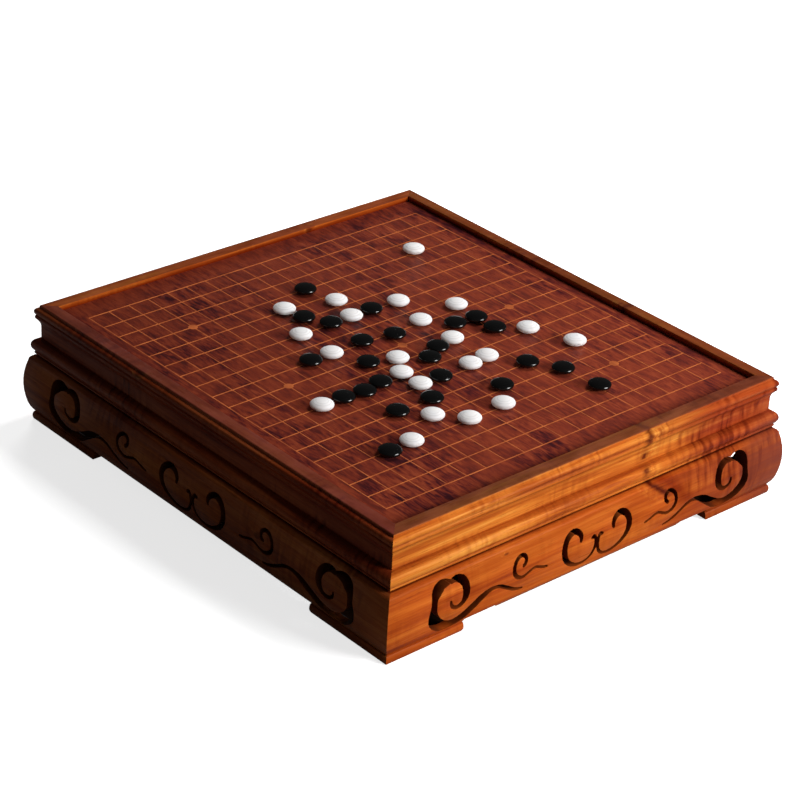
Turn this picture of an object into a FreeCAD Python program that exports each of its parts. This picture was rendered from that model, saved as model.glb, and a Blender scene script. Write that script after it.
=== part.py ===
import FreeCAD, Part

import math
import os

import Sketcher
from FreeCAD import Placement, Rotation, Vector

# A go board carried on a moulded case, with a drawer for the stones behind each
# of two sides. Millimetres, +Z up, the floor at Z = 0, the centre of the case at
# X = Y = 0. The players sit at the front (-Y) and the back (+Y), so the board is
# a little longer along Y, as go boards are.
#
# Every side is one moulded plank, mitred at its ends. Seen from its own middle a
# side lies along X and faces -Y, with the outer face of the rim at Y = 0: that is
# the "side frame" in which sides, drawers and drawer bays are drawn, and
# SIDE_PLACES puts it round the case.

DRIVING_SIZES = (
    # the case
    ("rim_width", 446.0, "rim, left to right"),
    ("rim_depth", 490.0, "rim, front to back"),
    ("board_height", 118.0, "floor to the top of the rim"),
    ("rim_top_width", 12.0, "width of the flat top of the rim"),
    ("rim_edge_round", 1.2, "rounding of the rim's outer top edge"),
    ("rim_stand", 5.5, "height of the rim above the playing face"),
    # the moulding: depths lie below the rim's top, heights above the floor, and
    # the other numbers say how far each part stands out
    ("upper_bead_start", 2.6, "depth of the upper bead's top"),
    ("upper_bead_end", 10.0, "depth of the quirk under the upper bead"),
    ("upper_bead_quirk", 2.3, "how far the quirk under it stands out"),
    ("upper_bead_radius", 4.2, "upper bead"),
    ("lower_bead_end", 14.2, "depth of the lower bead's foot"),
    ("lower_bead_foot", 2.6, "how far that foot stands out"),
    ("lower_bead_radius", 3.3, "lower bead"),
    ("neck_start", 21.0, "depth at which the cove meets the neck"),
    ("neck_inset", 0.8, "how far the neck lies inside the rim"),
    ("cove_radius", 9.0, "cove above the neck"),
    ("torus_start", 33.5, "depth of the torus's top"),
    ("torus_end", 46.4, "depth of the torus's foot"),
    ("torus_foot", 4.0, "how far that foot stands out"),
    ("torus_radius", 7.5, "torus"),
    ("torus_quirk", 0.4, "height of the quirk between torus and thin bead"),
    ("fillet_inset", 3.2, "how far the thin bead under the torus stands out"),
    ("fillet_height", 3.0, "height of that thin bead"),
    ("fillet_radius", 1.9, "that thin bead"),
    ("belly_start", 50.9, "depth of the belly's top edge"),
    ("groove_height", 0.9, "shadow groove above the belly"),
    ("groove_inset", 1.4, "how far the groove's floor stands out"),
    ("belly_lip", 3.6, "how far the belly's top edge stands out"),
    ("belly_shoulder_depth", 56.3, "depth at which the shoulder meets the belly"),
    ("belly_shoulder", 8.0, "how far that point stands out"),
    ("shoulder_bulge", 1.2, "how far the shoulder's curve swells beyond its chord"),
    ("belly_hip_height", 17.0, "height at which the belly turns in"),
    ("belly_hip", 9.0, "how far that point stands out"),
    ("belly_bulge", 3.2, "how far the belly's curve swells beyond its chord"),
    ("belly_foot_height", 8.2, "height of the belly's foot"),
    ("belly_foot", 4.2, "how far the belly's foot stands out"),
    ("hip_bulge", 0.6, "how far the turn below the belly swells beyond its chord"),
    ("foot_top", 5.0, "how far the foot's top edge stands out"),
    ("foot_bottom", 5.3, "how far the foot's bottom edge stands out"),
    ("foot_radius", 8.5, "face of the foot"),
    ("foot_step", 0.6, "height of the step between belly and foot"),
    ("wall_inset", 4.0, "back of the pierced wall, inside the rim's outer face"),
    ("wall_end", 52.0, "depth at which the thinned wall ends"),
    ("wall_slope", 4.0, "height of the slope up to the full plank"),
    # lower edges of the sides
    ("apron_height", 8.5, "floor to the lower edge between the feet"),
    ("foot_end_short", 145.0, "middle of a short side to its foot"),
    ("foot_end_long", 153.5, "middle of a long side to its foot"),
    ("foot_corner", 3.0, "rounding of the foot's end"),
    ("step_height", 3.2, "rise of the lower edge beside the feet of a short side"),
    ("step_length", 34.0, "length of that rise"),
    # pierced scrolls
    ("fret_reach_short", 190.5, "middle of a short side to the end of its fretwork"),
    ("fret_reach_long", 216.5, "middle of a long side to the end of its fretwork"),
    ("fret_low", 9.2, "floor to the lowest point of the fretwork"),
    ("fret_margin", 4.1, "belly's top edge to the highest point of the fretwork"),
    ("saw_deviation", 0.2, "straight saw cuts from the drawn curve"),
    # the playing panel
    ("panel_thickness", 12.0, "panel"),
    ("panel_tongue", 4.7, "how far the panel enters its groove"),
    ("panel_play", 0.3, "room for the panel's edge to move"),
    ("batten_width", 30.0, "battens under the panel"),
    ("batten_thickness", 12.0, "battens under the panel"),
    ("batten_inset", 85.0, "rim's outer face to the middle of a batten"),
    ("batten_play", 0.5, "gap at a batten's ends"),
    ("corner_block_width", 22.0, "glue blocks in the corners"),
    # drawers and their bays
    ("drawer_face_width", 104.0, "moulded face of a drawer"),
    ("drawer_face_gap", 0.6, "gap round the face"),
    ("drawer_box_inset", 3.0, "end of the face to the drawer's side"),
    ("drawer_side_thickness", 10.0, "sides of a drawer"),
    ("drawer_end_thickness", 9.0, "inner front and back of a drawer"),
    ("drawer_low", 16.0, "floor to the lower edge of a drawer"),
    ("drawer_top_gap", 4.5, "face's top edge to the upper edge of a drawer"),
    ("drawer_bottom_lift", 3.0, "lower edge to the underside of the bottom"),
    ("drawer_bottom_thickness", 4.0, "bottom of a drawer"),
    ("drawer_groove_depth", 4.0, "grooves that hold the bottom"),
    ("groove_play", 0.2, "play of the bottom in its grooves"),
    ("drawer_side_play", 1.0, "drawer to cheek, each side"),
    ("drawer_stop_gap", 1.0, "back of the drawer to the bay's back"),
    ("finger_notch_width", 44.0, "arched notch under a drawer's face"),
    ("finger_notch_height", 5.5, "arched notch under a drawer's face"),
    ("cheek_thickness", 12.0, "cheeks and back of a bay"),
    ("bay_gap", 1.0, "back bay to the side of the right bay"),
    ("runner_drop", 26.0, "drawer's upper edge to the lower face of a runner's groove"),
    ("runner_groove_height", 10.0, "groove in the drawer's side"),
    ("runner_groove_depth", 5.0, "groove in the drawer's side"),
    ("runner_play", 0.3, "runner in its groove"),
    # the grid and the stones
    ("grid_pitch_x", 21.85, "line to line, left to right"),
    ("grid_pitch_y", 22.85, "line to line, front to back"),
    ("grid_shift_x", 1.0, "middle of the grid from the middle of the case"),
    ("grid_shift_y", 1.0, "middle of the grid from the middle of the case"),
    ("stone_diameter", 21.2, "stones"),
    ("stone_thickness", 8.4, "stones"),
)

doc = FreeCAD.newDocument("GoBoard")
sheet = doc.addObject("Spreadsheet::Sheet", "Sizes")
for row, (alias, value, note) in enumerate(DRIVING_SIZES, 1):
    sheet.set(f"A{row}", note)
    sheet.set(f"B{row}", str(value))
    sheet.setAlias(f"B{row}", alias)
doc.recompute()


class Size:
    """A length, as its number and as the sheet formula that gives it."""

    def __init__(self, value, formula):
        self.value = value
        self.formula = formula

    def joined(self, sign, other, value):
        return Size(value, f"({self.formula} {sign} {other.formula})")

    def __add__(self, other):
        other = as_size(other)
        return self.joined("+", other, self.value + other.value)

    def __radd__(self, other):
        return as_size(other) + self

    def __sub__(self, other):
        other = as_size(other)
        return self.joined("-", other, self.value - other.value)

    def __rsub__(self, other):
        return as_size(other) - self

    def __mul__(self, other):
        other = as_size(other)
        return self.joined("*", other, self.value * other.value)

    def __rmul__(self, other):
        return as_size(other) * self

    def __truediv__(self, other):
        other = as_size(other)
        return self.joined("/", other, self.value / other.value)

    def __neg__(self):
        return 0.0 - self


def as_size(number):
    return number if isinstance(number, Size) else Size(float(number), repr(float(number)))


def size(alias):
    return Size(float(sheet.get(alias)), f"Sizes.{alias}")


def bind(item, prop, length):
    """Set a property to a length and tie it to the length's formula."""
    setattr(item, prop, length.value)
    item.setExpression(prop, length.formula)


# ---------------------------------------------------------------- derived sizes

ZERO = as_size(0.0)
# A plane below the floor, where tools that come up from below begin.
BELOW = as_size(-1.0)
RIM_TOP = size("board_height")
FIELD = RIM_TOP - size("rim_stand")
PANEL_UNDER = FIELD - size("panel_thickness")
RIM_INSIDE = size("rim_top_width")
HALF_FACE = size("drawer_face_width") / 2
HALF_OPENING = HALF_FACE + size("drawer_face_gap")
HALF_BOX = HALF_FACE - size("drawer_box_inset")
HALF_BAY = HALF_BOX + size("drawer_side_play")
BAY_OUTSIDE = HALF_BAY + size("cheek_thickness")
BAY_END = size("rim_depth") / 2 - BAY_OUTSIDE - size("bay_gap")
BAY_BACK = BAY_END - size("cheek_thickness")
BOX_START = size("wall_inset")
BOX_END = BAY_BACK - size("drawer_stop_gap")
BELLY_TOP = RIM_TOP - size("belly_start")
WALL_TOP = RIM_TOP - size("wall_end")
FRET_LOW = size("fret_low")
FRET_HEIGHT = BELLY_TOP - size("fret_margin") - FRET_LOW
FACE_TOP = BELLY_TOP - size("drawer_face_gap")
DRAWER_HIGH = FACE_TOP - size("drawer_top_gap")
RUNNER_LOW = DRAWER_HIGH - size("runner_drop")
BOTTOM_LOW = size("drawer_low") + size("drawer_bottom_lift")
BOTTOM_HIGH = BOTTOM_LOW + size("drawer_bottom_thickness")

# Where each side's frame goes: the turn about Z, then the rim's outer face.
SIDE_PLACES = {
    "front": (0.0, ZERO, -size("rim_depth") / 2),
    "right": (90.0, size("rim_width") / 2, ZERO),
    "back": (180.0, ZERO, size("rim_depth") / 2),
    "left": (270.0, -size("rim_width") / 2, ZERO),
}


def place_on_side(item, side):
    """Put an object drawn in the side frame on its side of the case."""
    turn, x, y = SIDE_PLACES[side]
    item.Placement = Placement(Vector(x.value, y.value, 0), Rotation(Vector(0, 0, 1), turn))
    item.setExpression("Placement.Base.x", x.formula)
    item.setExpression("Placement.Base.y", y.formula)


# ------------------------------------------------------------------ sketch tools

def arc_middle(start, end, radius, side):
    """The middle of the shorter arc; side is +1 to the left of travel, -1 to the right."""
    chord = end - start
    half = chord.Length / 2
    rise = radius - math.sqrt(radius * radius - half * half)
    left = Vector(-chord.y, chord.x, 0) / chord.Length
    return (start + end) / 2 + left * rise * side


def draw_loop(sketch, corners, arcs=None):
    """Draw a closed outline; each corner and arc radius is tied to the sheet.

    corners holds (x, y) sizes; arcs gives {index: (radius, side)} for the spans
    that leave those corners as arcs instead of lines.
    """
    arcs = arcs or {}
    points = [Vector(x.value, y.value, 0) for x, y in corners]
    count = len(points)
    for index, start in enumerate(points):
        end = points[(index + 1) % count]
        if index in arcs:
            radius, side = arcs[index]
            middle = arc_middle(start, end, radius.value, side)
            sketch.addGeometry(Part.Arc(start, middle, end))
        else:
            sketch.addGeometry(Part.LineSegment(start, end))

    def end_at(span, point):
        first = sketch.getPoint(span, 1)
        second = sketch.getPoint(span, 2)
        return 1 if first.distanceToPoint(point) < second.distanceToPoint(point) else 2

    rules = []
    ties = []
    for index, (x, y) in enumerate(corners):
        here = end_at(index, points[index])
        before = (index - 1) % count
        before_end = end_at(before, points[index])
        rules.append(Sketcher.Constraint("Coincident", before, before_end, index, here))
        for kind, length in (("DistanceX", x), ("DistanceY", y)):
            ties.append((len(rules), length))
            rules.append(Sketcher.Constraint(kind, -1, 1, index, here, length.value))
        if index in arcs:
            radius = arcs[index][0]
            ties.append((len(rules), radius))
            rules.append(Sketcher.Constraint("Radius", index, radius.value))
    sketch.addConstraint(rules)
    for number, length in ties:
        sketch.setExpression(f"Constraints[{number}]", length.formula)


# ------------------------------------------------------------------- piece tools

def free_sketch(name, rotation=Rotation()):
    sketch = doc.addObject("Sketcher::SketchObject", name)
    sketch.Placement = Placement(Vector(0, 0, 0), rotation)
    return sketch


def extrude(name, sketch, length, symmetric=False):
    """A straight extrusion of a closed sketch along its normal."""
    solid = doc.addObject("Part::Extrusion", name)
    solid.Base = sketch
    solid.DirMode = "Normal"
    solid.Solid = True
    solid.Symmetric = symmetric
    bind(solid, "LengthFwd", length)
    return solid


def block(name, x, y, z):
    """A rectangular tool or piece between its (low, high) sizes along each axis."""
    item = doc.addObject("Part::Box", name)
    for prop, axis, (low, high) in (("Length", "x", x), ("Width", "y", y), ("Height", "z", z)):
        bind(item, prop, high - low)
        item.setExpression(f"Placement.Base.{axis}", low.formula)
    return item


def board(name, x, y, z):
    """A squared board as a body: its plan is sketched and padded to its height."""
    body = doc.addObject("PartDesign::Body", name)
    plan = body.newObject("Sketcher::SketchObject", f"{name}_plan")
    ground = [plane for plane in body.Origin.OriginFeatures if plane.Role == "XY_Plane"][0]
    plan.AttachmentSupport = [(ground, "")]
    plan.MapMode = "FlatFace"
    draw_loop(plan, ((x[0], y[0]), (x[1], y[0]), (x[1], y[1]), (x[0], y[1])))
    pad = body.newObject("PartDesign::Pad", f"{name}_pad")
    pad.Profile = plan
    bind(pad, "Length", z[1] - z[0])
    body.setExpression("Placement.Base.z", z[0].formula)
    return body


def cut(name, base, *tools):
    """The base less each tool in turn."""
    for number, tool in enumerate(tools, 1):
        last = number == len(tools)
        item = doc.addObject("Part::Cut", name if last else f"{name}_stage{number}")
        item.Base = base
        item.Tool = tool
        item.Refine = True
        base = item
    return base


NODES = []


def keep(item, node):
    """Name a finished piece; its label is the name of its file."""
    item.Label = node
    NODES.append(item)
    return item


# --------------------------------------------------------------------- moulding

def out(depth_alias, reach):
    """A corner of the moulding, from its depth below the rim's top."""
    return reach, RIM_TOP - size(depth_alias)


def flats(start, end, bulge, count):
    """The corners between narrow flats that swell beyond the chord by the bulge."""
    corners = []
    for step in range(1, count):
        share = step / count
        swell = bulge * (4 * share * (1 - share))
        x = start[0] * (1 - share) + end[0] * share + swell
        y = start[1] * (1 - share) + end[1] * share
        corners.append((x, y))
    return tuple(corners)


# The outline runs down the outer face of a side and up its inner face. Its x is
# how far a corner stands out from the rim's outer face, its y the height.
ROUND = size("rim_edge_round")
FILLET_TOP = RIM_TOP - size("torus_end") - size("torus_quirk")
GROOVE_TOP = BELLY_TOP + size("groove_height")
NECK = -size("neck_inset")
FOOT_TOP = size("belly_foot_height") - size("foot_step")

OUTER_UPPER = (
    (-RIM_INSIDE, RIM_TOP),
    (-ROUND, RIM_TOP),
    (ZERO, RIM_TOP - ROUND),
    out("upper_bead_start", ZERO),
    out("upper_bead_end", size("upper_bead_quirk")),
    out("lower_bead_end", size("lower_bead_foot")),
    out("neck_start", NECK),
    out("torus_start", NECK),
    out("torus_end", size("torus_foot")),
    (size("fillet_inset"), FILLET_TOP),
    (size("fillet_inset"), FILLET_TOP - size("fillet_height")),
    (size("groove_inset"), GROOVE_TOP),
    out("belly_start", size("groove_inset")),
)

# The belly is worked in flats so narrow that they read as one curve.
SHOULDER_FLATS = 3
BELLY_FLATS = 7
HIP_FLATS = 2
LIP = out("belly_start", size("belly_lip"))
SHOULDER = out("belly_shoulder_depth", size("belly_shoulder"))
HIP = (size("belly_hip"), size("belly_hip_height"))
BELLY_END = (size("belly_foot"), size("belly_foot_height"))
OUTER_LOWER = (
    (LIP,)
    + flats(LIP, SHOULDER, size("shoulder_bulge"), SHOULDER_FLATS)
    + (SHOULDER,)
    + flats(SHOULDER, HIP, size("belly_bulge"), BELLY_FLATS)
    + (HIP,)
    + flats(HIP, BELLY_END, size("hip_bulge"), HIP_FLATS)
    + (BELLY_END, (size("belly_foot"), FOOT_TOP), (size("foot_top"), FOOT_TOP))
)
WALL_INSIDE = -size("wall_inset")
INNER = (
    (size("foot_bottom"), ZERO),
    (WALL_INSIDE, ZERO),
    (WALL_INSIDE, WALL_TOP),
    (-RIM_INSIDE, WALL_TOP + size("wall_slope")),
    (-RIM_INSIDE, PANEL_UNDER),
    (-RIM_INSIDE + size("panel_tongue"), PANEL_UNDER),
    (-RIM_INSIDE + size("panel_tongue"), FIELD),
    (-RIM_INSIDE, FIELD),
)
LEFT, RIGHT = 1, -1
UPPER_ARCS = {
    1: (ROUND, LEFT),
    3: (size("upper_bead_radius"), LEFT),
    4: (size("lower_bead_radius"), LEFT),
    5: (size("cove_radius"), RIGHT),
    7: (size("torus_radius"), LEFT),
    9: (size("fillet_radius"), LEFT),
}
FOOT_ARC = {len(OUTER_UPPER) + len(OUTER_LOWER) - 1: (size("foot_radius"), LEFT)}

# A sketch in the side frame's end view: its x points outwards (-Y), its y up.
END_VIEW = Rotation(Vector(0, -1, 0), Vector(0, 0, 1), Vector(-1, 0, 0), "ZXY")
# A sketch in the side frame's front view: its x points along the side, its y up.
FRONT_VIEW = Rotation(Vector(1, 0, 0), Vector(0, 0, 1), Vector(0, -1, 0), "ZXY")
# Planes that lie clear of the moulding in front and behind.
MOULDING_REACH = size("belly_shoulder") + size("belly_hip") + size("belly_bulge")
MOULDING_DEPTH = 2 * RIM_INSIDE


def moulding(name, length):
    """The whole moulding as a straight plank, centred on the side's middle."""
    sketch = free_sketch(f"{name}_outline", END_VIEW)
    draw_loop(sketch, OUTER_UPPER + OUTER_LOWER + INNER, {**UPPER_ARCS, **FOOT_ARC})
    return extrude(f"{name}_plank", sketch, length, symmetric=True)


def mitred(name, plank, length):
    """The plank between 45 degree cuts that meet its neighbours at the corners."""
    plan = free_sketch(f"{name}_mitres")
    wide = length / 2 + MOULDING_REACH
    narrow = length / 2 - MOULDING_DEPTH
    front = -MOULDING_REACH
    back = MOULDING_DEPTH
    draw_loop(plan, ((-wide, front), (wide, front), (narrow, back), (-narrow, back)))
    between = extrude(f"{name}_between_mitres", plan, RIM_TOP)
    item = doc.addObject("Part::Common", f"{name}_mitred")
    item.Base = plank
    item.Tool = between
    return item


def lower_edge(name, foot_end, stepped):
    """What is sawn away between the feet; a short side also steps up beside them."""
    apron = size("apron_height")
    corner = size("foot_corner")
    left = [(-foot_end - corner, BELOW), (-foot_end - corner, ZERO), (-foot_end, corner)]
    if stepped:
        raised = apron + size("step_height")
        step_end = foot_end - size("step_length")
        left += [(-foot_end, raised), (-step_end, raised), (-step_end + size("step_height"), apron)]
    else:
        left += [(-foot_end, apron)]
    right = [(-x, y) for x, y in reversed(left)]
    outline = free_sketch(f"{name}_lower_edge", FRONT_VIEW)
    corners = left + right
    draw_loop(outline, corners, {1: (corner, RIGHT), len(corners) - 3: (corner, RIGHT)})
    return extrude(f"{name}_sawn_away", outline, 4 * MOULDING_DEPTH, symmetric=True)


# ---------------------------------------------------------------------- fretwork

# Each stroke of the scrollwork is sawn along a curve. Its stations give the
# distance from the side's middle, the height above the lowest stroke and the
# width of the cut, as drawn for a short side.
DRAWN_REACH = 190.5
DRAWN_HEIGHT = 53.8
# Points at which a drawn curve is compared with the straight cuts that follow it.
FINE_STEPS = 240
# How far a stroke's blunt ends reach on, as a share of half its width.
NOSE = 0.5
CORNER_SPIRAL = (
    (166.5, 30.8, 2.4), (165.5, 25.8, 3.4), (160.0, 22.5, 4.2), (153.5, 24.8, 5.5),
    (150.0, 31.3, 7.6), (150.0, 38.8, 8.0), (153.5, 45.8, 8.0), (160.0, 49.0, 6.4),
    (166.5, 47.4, 4.0),
)
CORNER_WAVE = (
    (163.5, 48.3, 1.5), (169.0, 48.8, 6.0), (175.0, 48.8, 9.6), (181.0, 44.8, 11.5),
    (184.0, 38.3, 7.4), (184.8, 32.3, 6.5), (185.6, 25.3, 9.0), (184.0, 18.3, 11.5),
    (178.0, 11.3, 11.5), (171.0, 7.0, 11.5), (163.0, 5.5, 10.8), (152.0, 8.3, 10.0),
    (143.0, 13.8, 9.0), (134.0, 20.0, 8.0), (126.0, 24.0, 5.6), (118.0, 25.3, 3.8),
    (110.0, 23.3, 3.6), (102.0, 18.3, 3.6), (94.0, 13.8, 3.4), (84.0, 11.3, 2.2),
)
SMALL_SCROLL = (
    (86.5, 33.8, 3.6), (83.0, 37.5, 3.8), (83.5, 42.0, 4.0), (88.0, 44.3, 4.0),
    (93.3, 41.8, 4.0), (96.2, 36.3, 4.0), (96.0, 30.3, 4.0), (92.3, 25.3, 4.0),
    (86.0, 23.3, 3.4), (80.0, 25.3, 2.8), (74.0, 27.8, 2.7), (68.0, 26.6, 2.7),
    (62.5, 24.2, 2.7), (58.0, 23.5, 2.2),
)
CENTRE_SCROLL = (
    (20.0, 32.3, 2.6), (19.0, 37.0, 4.6), (22.0, 42.3, 5.6), (28.0, 44.6, 6.0),
    (34.0, 42.0, 6.5), (38.0, 35.3, 6.5), (38.3, 27.3, 6.5), (35.0, 19.3, 5.5),
    (28.0, 12.8, 4.5), (19.0, 9.3, 3.6), (11.0, 9.8, 3.2), (5.0, 13.8, 3.2),
    (1.8, 20.3, 3.4), (1.2, 27.3, 3.8), (3.6, 32.3, 4.2), (6.5, 31.3, 3.2),
)


def sawn_edge(points):
    """The straight saw cuts that follow a smooth curve through the points."""
    curve = Part.BSplineCurve()
    curve.interpolate(points)
    fine = curve.toShape().discretize(Number=FINE_STEPS)
    deviation = size("saw_deviation").value
    start = 0
    corners = [fine[0]]
    for end in range(2, FINE_STEPS):
        run = fine[end] - fine[start]
        strays = [point.distanceToLine(fine[start], run) for point in fine[start + 1:end]]
        if max(strays) > deviation:
            start = end - 1
            corners.append(fine[start])
    return corners + fine[-1:]


def sawn_stroke(stations, reach, hand):
    """One stroke as a prism through the side; hand is +1 right of the middle, -1 left."""
    along = hand * reach / DRAWN_REACH
    up = FRET_HEIGHT.value / DRAWN_HEIGHT
    low = FRET_LOW.value
    near = Vector(0, -MOULDING_REACH.value, 0)
    points = [Vector(x * along, 0, low + z * up) + near for x, z, width in stations]
    path = Part.BSplineCurve()
    path.interpolate(points)
    one_edge = []
    other_edge = []
    for point, (x, z, width) in zip(points, stations):
        run = path.tangent(path.parameter(point))[0]
        half = Vector(-run.z, 0, run.x) * (width * up / 2)
        one_edge.append(point + half)
        other_edge.insert(0, point - half)
        if point is points[0]:
            nose = point - run * half.Length * NOSE
        tail = point + run * half.Length * NOSE
    outline = [nose] + sawn_edge(one_edge) + [tail] + sawn_edge(other_edge)
    face = Part.Face(Part.makePolygon(outline + outline[:1]))
    return face.extrude(Vector(0, (MOULDING_REACH + MOULDING_DEPTH).value, 0))


def fretwork(name, reach, with_centre):
    """All the strokes of one side, or of a drawer's face, as one cutting tool."""
    strokes = []
    for hand in (1, -1):
        corner = sawn_stroke(CORNER_SPIRAL, reach, hand)
        strokes.append(corner.fuse(sawn_stroke(CORNER_WAVE, reach, hand)))
        strokes.append(sawn_stroke(SMALL_SCROLL, reach, hand))
    if with_centre:
        strokes.append(centre_scrolls(reach))
    tool = doc.addObject("Part::Feature", name)
    tool.Shape = Part.Compound(strokes)
    return tool


def centre_scrolls(reach):
    right = sawn_stroke(CENTRE_SCROLL, reach, 1)
    return right.fuse(sawn_stroke(CENTRE_SCROLL, reach, -1))


# ------------------------------------------------------------------------- sides

SIDE_LENGTHS = {
    "front": ("rim_width", "foot_end_short", "fret_reach_short"),
    "right": ("rim_depth", "foot_end_long", "fret_reach_long"),
    "back": ("rim_width", "foot_end_short", "fret_reach_short"),
    "left": ("rim_depth", "foot_end_long", "fret_reach_long"),
}
DRAWER_SIDES = ("right", "back")
THROUGH = (-MOULDING_REACH, MOULDING_DEPTH)


def make_side(side):
    """One moulded side with its feet, its fretwork and any drawer opening."""
    length_name, foot_name, reach_name = SIDE_LENGTHS[side]
    length = size(length_name)
    plank = moulding(side, length + 2 * MOULDING_REACH)
    item = mitred(side, plank, length)
    tools = [lower_edge(side, size(foot_name), stepped=foot_name == "foot_end_short")]
    has_drawer = side in DRAWER_SIDES
    if has_drawer:
        span = (-HALF_OPENING, HALF_OPENING)
        tools.append(block(f"{side}_opening", span, THROUGH, (BELOW, BELLY_TOP)))
    tools.append(fretwork(f"{side}_fretwork", size(reach_name).value, not has_drawer))
    item = cut(f"{side}_side_piece", item, *tools)
    place_on_side(item, side)
    return keep(item, f"{side}_side")


for side_name in SIDE_PLACES:
    make_side(side_name)


# --------------------------------------------------------- panel and what holds it

def centred(half):
    return -half, half


def add_panel():
    edge = RIM_INSIDE - size("panel_tongue") + size("panel_play")
    half_x = size("rim_width") / 2 - edge
    half_y = size("rim_depth") / 2 - edge
    keep(board("panel", centred(half_x), centred(half_y), (PANEL_UNDER, FIELD)), "board_panel")


def add_battens():
    """Two battens keep the panel flat where no drawer bay does."""
    height = (PANEL_UNDER - size("batten_thickness"), PANEL_UNDER)
    half = size("batten_width") / 2
    ends = RIM_INSIDE + size("batten_play")
    left = size("batten_inset") - size("rim_width") / 2
    front = size("batten_inset") - size("rim_depth") / 2
    run_y = centred(size("rim_depth") / 2 - ends)
    run_x = (left + half + size("batten_play"), size("rim_width") / 2 - ends)
    keep(board("batten_left", (left - half, left + half), run_y, height), "left_batten")
    keep(board("batten_front", run_x, (front - half, front + half), height), "front_batten")


def add_corner_blocks():
    """Glue blocks behind the mitres, above the fretwork."""
    height = (WALL_TOP + size("wall_slope"), PANEL_UNDER)
    far_x = size("rim_width") / 2 - RIM_INSIDE
    far_y = size("rim_depth") / 2 - RIM_INSIDE
    near_x = far_x - size("corner_block_width")
    near_y = far_y - size("corner_block_width")
    spans_x = {"left": (-far_x, -near_x), "right": (near_x, far_x)}
    spans_y = {"front": (-far_y, -near_y), "back": (near_y, far_y)}
    for row_name, span_y in spans_y.items():
        for column_name, span_x in spans_x.items():
            node = f"{row_name}_{column_name}_corner_block"
            keep(board(node, span_x, span_y, height), node)


add_panel()
add_battens()
add_corner_blocks()


# ------------------------------------------------------------------- drawer bays

BAY_HEIGHT = (size("drawer_low"), PANEL_UNDER)
HANDS = {"left": -1, "right": 1}


def on_hand(hand, inner, outer):
    """The span between two distances from the middle, to the left or to the right."""
    return (inner, outer) if hand > 0 else (-outer, -inner)


def add_bay(side):
    """Two cheeks, two runners and a back, hung under the panel behind a drawer side."""
    run = (RIM_INSIDE, BAY_END)
    runner_inner = HALF_BOX - size("runner_groove_depth") + size("runner_play")
    runner_low = RUNNER_LOW + size("runner_play")
    runner_high = RUNNER_LOW + size("runner_groove_height") - size("runner_play")
    runner_run = (BOX_START + size("drawer_end_thickness") + size("drawer_side_play"), BAY_BACK)
    for hand_name, hand in HANDS.items():
        node = f"{side}_bay_{hand_name}_cheek"
        cheek = board(node, on_hand(hand, HALF_BAY, BAY_OUTSIDE), run, BAY_HEIGHT)
        place_on_side(cheek, side)
        keep(cheek, node)
        node = f"{side}_bay_{hand_name}_runner"
        span = on_hand(hand, runner_inner, HALF_BAY)
        runner = board(node, span, runner_run, (runner_low, runner_high))
        place_on_side(runner, side)
        keep(runner, node)
    node = f"{side}_bay_back"
    back = board(node, centred(HALF_BAY), (BAY_BACK, BAY_END), BAY_HEIGHT)
    place_on_side(back, side)
    keep(back, node)


for side_name in DRAWER_SIDES:
    add_bay(side_name)


# ----------------------------------------------------------------------- drawers

BOX_HEIGHT = (size("drawer_low"), DRAWER_HIGH)
INSIDE_START = BOX_START + size("drawer_end_thickness")
INSIDE_END = BOX_END - size("drawer_end_thickness")
HALF_INSIDE = HALF_BOX - size("drawer_side_thickness")
HALF_BOTTOM_GROOVE = HALF_INSIDE + size("drawer_groove_depth")
BOTTOM_HEIGHT = (BOTTOM_LOW, BOTTOM_HIGH)


def add_drawer_face(side, length, reach):
    """The part of the side's belly between the feet, moved with the drawer."""
    plank = moulding(f"{side}_face", length)
    span = centred(HALF_FACE)
    room = block(f"{side}_face_room", span, THROUGH, (size("apron_height"), FACE_TOP))
    face = doc.addObject("Part::Common", f"{side}_face_blank")
    face.Base = plank
    face.Tool = room
    apron = size("apron_height")
    width = size("finger_notch_width")
    rise = size("finger_notch_height")
    radius = (width * width / 4 + rise * rise) / (2 * rise)
    notch_outline = free_sketch(f"{side}_notch_outline", FRONT_VIEW)
    corners = ((-width / 2, BELOW), (width / 2, BELOW), (width / 2, apron), (-width / 2, apron))
    draw_loop(notch_outline, corners, {2: (radius, RIGHT)})
    notch = extrude(f"{side}_notch", notch_outline, 4 * MOULDING_DEPTH, symmetric=True)
    scrolls = doc.addObject("Part::Feature", f"{side}_centre_scrolls")
    scrolls.Shape = centre_scrolls(reach)
    face = cut(f"{side}_face_piece", face, notch, scrolls)
    place_on_side(face, side)
    keep(face, f"{side}_drawer_face")


def add_drawer_front(side):
    name = f"{side}_inner_front"
    front = board(name, centred(HALF_BOX), (BOX_START, INSIDE_START), BOX_HEIGHT)
    groove_run = (INSIDE_START - size("drawer_groove_depth"), INSIDE_START)
    groove = block(f"{name}_groove", centred(HALF_BOTTOM_GROOVE), groove_run, BOTTOM_HEIGHT)
    front = cut(f"{name}_piece", front, groove)
    place_on_side(front, side)
    keep(front, f"{side}_drawer_inner_front")


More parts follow.
